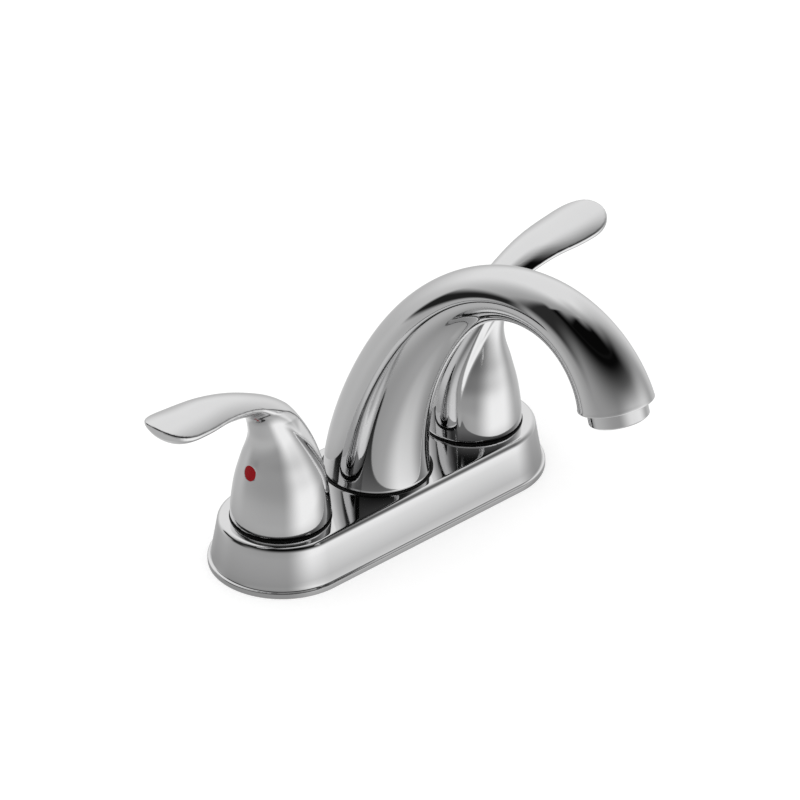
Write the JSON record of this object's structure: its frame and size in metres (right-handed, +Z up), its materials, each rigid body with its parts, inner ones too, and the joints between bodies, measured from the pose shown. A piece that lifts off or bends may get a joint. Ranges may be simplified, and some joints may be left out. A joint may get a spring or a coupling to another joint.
{
  "type": "bathroom faucet",
  "caption": "Deck mounted basin faucet with a tall arched spout, two lever handles on bell shaped hubs and a low oval plate.",
  "frame": {"origin": "centre of the deck plate's underside, on the deck", "axes": "+Z up, -Y towards the user along the spout, -X the hot handle"},
  "size_m": [0.2365, 0.1744, 0.1952],
  "materials": {
    "chrome": "bright polished plating",
    "brass": "as machined",
    "black_plastic": "fine matt",
    "white_plastic": "moulded",
    "grey_plastic": "moulded",
    "red_plastic": "moulded",
    "blue_plastic": "moulded",
    "seal_rubber": "smooth",
    "foam": "closed cell foam",
    "disc_ceramic": "lapped",
    "steel": "machined"
  },
  "bodies": {
    "deck_assembly": {"deck_plate": "chrome", "base_gasket": "foam", "spout_hub": "brass", "spout_seal": "seal_rubber", "spout_shell": "chrome", "spout_tube": "white_plastic", "front_fixing_screw": "steel", "back_fixing_screw": "steel", "outlet_adapter": "brass", "aerator_washer": "seal_rubber", "aerator_housing": "chrome", "aerator_insert": "white_plastic", "aerator_screen": "steel", "spout_base_ring": "black_plastic", "hot_valve_body": "brass", "hot_cross_tube": "brass", "hot_cartridge_seal": "seal_rubber", "hot_fixed_disc": "disc_ceramic", "hot_cartridge_housing": "grey_plastic", "hot_bonnet_nut": "brass", "hot_base_ring": "black_plastic", "cold_valve_body": "brass", "cold_cross_tube": "brass", "cold_cartridge_seal": "seal_rubber", "cold_fixed_disc": "disc_ceramic", "cold_cartridge_housing": "grey_plastic", "cold_bonnet_nut": "brass", "cold_base_ring": "black_plastic"},
    "hot_handle_set": {"hot_moving_disc": "disc_ceramic", "hot_stem": "brass", "hot_stem_seal": "seal_rubber", "hot_handle": "chrome", "hot_index_button": "red_plastic", "hot_set_screw": "steel"},
    "cold_handle_set": {"cold_moving_disc": "disc_ceramic", "cold_stem": "brass", "cold_stem_seal": "seal_rubber", "cold_handle": "chrome", "cold_index_button": "blue_plastic", "cold_set_screw": "steel"}
  },
  "joints": [
    {"name": "hot_handle_turn", "type": "hinge", "parent": "deck_assembly", "child": "hot_handle_set", "pos_m": [-0.0508, 0, 0.0207], "axis": [0, 0, 1], "range_deg": [0, 90]},
    {"name": "cold_handle_turn", "type": "hinge", "parent": "deck_assembly", "child": "cold_handle_set", "pos_m": [0.0508, 0, 0.0207], "axis": [0, 0, 1], "range_deg": [-90, 0]}
  ]
}
